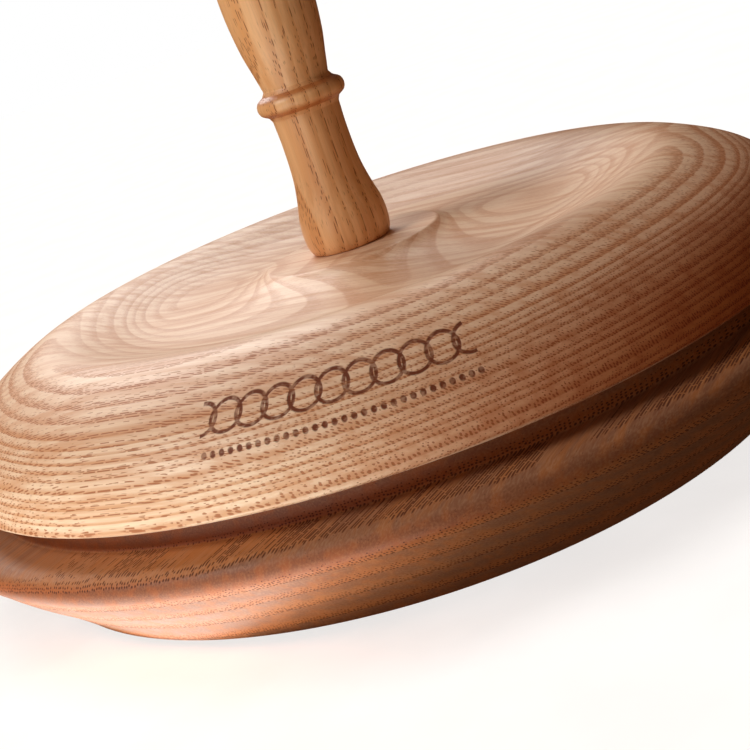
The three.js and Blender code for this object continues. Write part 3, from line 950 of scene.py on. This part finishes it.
def arm(name, node, body, material, quarter_turn):
    """A flat bar with round ends, eased edges and rows of peg holes."""
    curve = bpy.data.curves.new(name, "CURVE")
    curve.dimensions = "2D"
    curve.fill_mode = "BOTH"
    half_width = ARM_WIDTH / 2
    straight = ARM_LENGTH / 2 - half_width
    ends = []
    for side in (1, -1):
        for i in range(25):
            angle = math.pi * (i / 24 - 0.5)
            along = straight + half_width * math.cos(angle)
            across = half_width * math.sin(angle)
            ends.append((side * along, side * across))
    closed_loop(curve, ends)
    closed_loop(curve, circle_points(0, 0, STUD_HOLE_RADIUS, 32))
    for i in range(PEG_HOLE_COUNT):
        for side in (1, -1):
            x = side * (PEG_HOLE_FIRST + i * PEG_HOLE_PITCH)
            closed_loop(curve, circle_points(x, 0, PEG_HOLE_RADIUS, 32))
    curve.extrude = (ARM_THICKNESS / 2 - ARM_ROUNDING) * MM
    curve.bevel_depth = ARM_ROUNDING * MM
    curve.bevel_resolution = 3
    curve.offset = -ARM_ROUNDING * MM
    shape = new_piece(name + "_shape", curve)
    bpy.context.view_layer.update()
    evaluated = shape.evaluated_get(bpy.context.evaluated_depsgraph_get())
    mesh = bpy.data.meshes.new_from_object(evaluated)
    bpy.data.objects.remove(shape)
    middle = (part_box(node)[0].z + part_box(node)[1].z) / 2
    turn = Matrix.Rotation(math.pi / 2 if quarter_turn else 0, 4, "Z")
    mesh.transform(Matrix.Translation((0, 0, middle)) @ turn)
    build = bmesh.new()
    build.from_mesh(mesh)
    bmesh.ops.remove_doubles(build, verts=build.verts, dist=1e-6)
    mesh = mesh_from(build, name)
    for polygon in mesh.polygons:
        polygon.use_smooth = abs(polygon.normal.z) < 0.999
    finish_piece(new_piece(name, mesh), material, body, "light_ash", node)


def peg(node, body):
    low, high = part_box(node)
    centre = ((low.x + high.x) / 2, (low.y + high.y) / 2, low.z)
    h = (high.z - low.z) / MM
    seat = 12
    piece = turned(node + "_turned", [
        (0, 0),
        (4.1, 0, 0.3),
        (4.7, 0.8, 0.3),
        (4.7, seat, 0.2),
        (8.6, seat, 0.5),
        (9.2, seat + 0.9),
        (9.2, seat + 2.3),
        (8.4, seat + 3.5, 0.4),
        (6.4, seat + 5.6),
        (5.5, seat + 9),
        (5.4, seat + 12, 0.2),
        (5.8, seat + 22),
        (6.2, seat + 40),
        (6, seat + 60),
        (5.6, seat + 80),
        (5.1, seat + 98),
        (4.6, h - 16.5, 0.3),
        (5.2, h - 14),
        (7, h - 10.6),
        (7.6, h - 7.4),
        (6.9, h - 3.4),
        (4.4, h - 0.9),
        (0, h),
    ], 48, at=centre)
    finish_piece(piece, golden, body, "golden_oak", node)


# ------------------------------------------------------------------ clamp knob and washers
def washer(name, node, body, material, slot, hole, rounding):
    low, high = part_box(node)
    outer = high.x / MM
    thickness = (high.z - low.z) / MM
    points = ring_section(hole, outer, 0, thickness, rounding)
    piece = turned(name, points, 96, at=(0, 0, low.z), closed=True)
    finish_piece(piece, material, body, slot, node)


def knob():
    low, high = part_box("knob")
    top = (high.z - low.z) / MM
    socket_radius = 6.8
    socket_top = 18.6
    piece = turned("knob_turned", [
        (0, socket_top),
        (socket_radius, socket_top, 0.2),
        (socket_radius, 0, 0.5),
        (13.2, 0, 0.3),
        (13.9, 0.9),
        (13.7, 2.2, 0.3),
        (12.8, 4),
        (12.5, 5.8),
        (12.9, 8),
        (14.1, 10.2, 0.4),
        (17, 13),
        (19.2, 16.4),
        (20, 19.8),
        (19.4, 23.4),
        (17.6, 26.4),
        (14.4, 28.8, 0.5),
        (13.2, 28.5, 0.3),
        (10.8, 30.6),
        (6.6, 32.8),
        (2.6, 33.8),
        (0, top),
    ], 96, at=(0, 0, low.z), step=0.8)
    finish_piece(piece, golden, "knob", "golden_oak", "knob")

    low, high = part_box("knob_insert")
    length = (high.z - low.z) / MM
    profile = [(4.3, 0, 0.3), (6.2, 0, 0.3)]
    for i in range(6):
        profile.append((6.5, 1.2 + i * 2.7, 0.15))
        profile.append((6.5, 2.6 + i * 2.7, 0.15))
        profile.append((6.0, 2.9 + i * 2.7, 0.1))
        profile.append((6.0, 3.6 + i * 2.7, 0.1))
    profile += [(6.2, length, 0.3), (4.3, length, 0.3), (4.3, 0, 0.3)]
    insert = turned("knob_insert_turned", profile, 64, at=(0, 0, low.z), closed=True)
    finish_piece(insert, brass, "knob", "brass", "knob_insert")


# ------------------------------------------------------------------ build
upper_disc()
lower_disc()
foot_pads()
race("lower_race_pressed", "lower_race", "base", LOWER_RACE, True)
race("upper_race_pressed", "upper_race", "turntable", UPPER_RACE, False)
balls_and_cage()
race_screws("lower_race_screw", "base", LOWER_SCREW_DEGREES, LOWER_RACE + RACE_THICKNESS + 0.2, False)
race_screws("upper_race_screw", "turntable", UPPER_SCREW_DEGREES, UPPER_RACE - 0.2, True)
spindle()
spindle_fixings()
arm("lower_arm_shaped", "lower_arm", "turntable", lower_arm_wood, False)
arm("upper_arm_shaped", "upper_arm", "cross_arm", upper_arm_wood, True)
washer("arm_spacer_moulded", "arm_spacer", "turntable", nylon, "nylon", STUD_HOLE_RADIUS, 0.4)
washer("clamp_washer_turned", "clamp_washer", "clamp", brass, "brass", STUD_HOLE_RADIUS, 0.4)
for side in ("right", "left", "back", "front"):
    peg(f"peg_{side}", f"{side}_peg")
knob()


# ------------------------------------------------------------------ stage, lights and camera
def floor():
    size = 8.0
    mesh = bpy.data.meshes.new("floor")
    level = -0.2 * MM
    square = [(-size, -size, level), (size, -size, level), (size, size, level), (-size, size, level)]
    mesh.from_pydata(square, [], [(0, 1, 2, 3)])
    plane = bpy.data.objects.new("floor", mesh)
    bpy.context.scene.collection.objects.link(plane)
    shader = Shader("pale_floor")
    speckle = shader.noise(shader.object_point(), scale=30.0, detail=3.0)
    tone = shader.mix(shader.range(speckle, 0.3, 0.7), srgb(246, 246, 245), srgb(250, 250, 249))
    mesh.materials.append(shader.surface(Base_Color=tone, Roughness=0.9, Specular_IOR_Level=0.0))
    plane.visible_diffuse = False
    plane.visible_glossy = False
    return plane


def area_light(name, location, size, power, colour, target=(0, 0, 0.04)):
    data = bpy.data.lights.new(name, "AREA")
    data.shape = "DISK"
    data.size = size
    data.energy = power
    data.color = colour
    light = bpy.data.objects.new(name, data)
    light.location = location
    light.rotation_euler = (Vector(target) - Vector(location)).to_track_quat("-Z", "Y").to_euler()
    bpy.context.scene.collection.objects.link(light)
    return light


def floor_wash(plane):
    """Two suns on the floor alone: it stays pale, and only the weaker one leaves a shadow on it."""
    receivers = bpy.data.collections.new("floor_only")
    receivers.objects.link(plane)
    for name, energy, shadow in (("floor_even", 2.7, False), ("floor_shadow", 0.6, True)):
        data = bpy.data.lights.new(name, "SUN")
        data.energy = energy
        data.angle = math.radians(50)
        data.use_shadow = shadow
        light = bpy.data.objects.new(name, data)
        bpy.context.scene.collection.objects.link(light)
        light.light_linking.receiver_collection = receivers


def spare_floor(light, plane):
    """Keeps a light, and so its shadows, off the floor."""
    spared = bpy.data.collections.new(light.name + "_spares")
    spared.objects.link(plane)
    spared.collection_objects[0].light_linking.link_state = "EXCLUDE"
    light.light_linking.receiver_collection = spared


def camera():
    data = bpy.data.cameras.new("camera")
    data.lens = CAMERA_LENS
    data.sensor_width = 36
    data.clip_start = 0.01
    data.clip_end = 50
    made = bpy.data.objects.new("camera", data)
    centre = Vector((0, 0, EDGE_Z))
    back = Vector((0, -math.cos(CAMERA_ELEVATION), math.sin(CAMERA_ELEVATION)))
    made.location = centre + back * CAMERA_DISTANCE
    aim = centre + CAMERA_AIM
    level = (aim - made.location).to_track_quat("-Z", "Y").to_matrix()
    roll = Matrix.Rotation(CAMERA_ROLL, 3, "Z")
    made.rotation_euler = (level @ roll).to_euler()
    bpy.context.scene.collection.objects.link(made)
    bpy.context.scene.camera = made


def world():
    """White behind the object, and a weak warm light from all round it."""
    made = bpy.data.worlds.new("studio")
    bpy.context.scene.world = made
    made.use_nodes = True
    tree = made.node_tree
    tree.nodes.clear()
    path = tree.nodes.new("ShaderNodeLightPath")
    ambient = tree.nodes.new("ShaderNodeBackground")
    ambient.inputs["Color"].default_value = AMBIENT
    ambient.inputs["Strength"].default_value = 0.09
    seen = tree.nodes.new("ShaderNodeBackground")
    seen.inputs["Color"].default_value = (1, 1, 1, 1)
    seen.inputs["Strength"].default_value = 1.0
    choose = tree.nodes.new("ShaderNodeMixShader")
    output = tree.nodes.new("ShaderNodeOutputWorld")
    tree.links.new(path.outputs["Is Camera Ray"], choose.inputs[0])
    tree.links.new(ambient.outputs[0], choose.inputs[1])
    tree.links.new(seen.outputs[0], choose.inputs[2])
    tree.links.new(choose.outputs[0], output.inputs[0])


plane = floor()
floor_wash(plane)
key_light = area_light("key", (-0.72, -0.32, 0.78), 0.5, 4.9, NEARLY_WHITE)
top_light = area_light("top", (-0.25, 0.9, 0.85), 0.9, 10.8, NEARLY_WHITE)
fill_light = area_light("fill", (-0.64, -0.77, 0.14), 0.35, 0.9, WARM_WHITE)
# The bounce lies on the floor in front of the base and faces up, to reach the lower disc's side,
# which leans outwards over the floor.
bounce_light = area_light("bounce", (-0.16, -0.20, 0.001), 0.30, 0.78, GREENISH_WHITE,
                          target=(-0.16, -0.20, 1))
bounce_light.visible_camera = False
for light in (key_light, top_light, fill_light, bounce_light):
    spare_floor(light, plane)
world()
camera()
bpy.context.scene.view_settings.view_transform = "Standard"
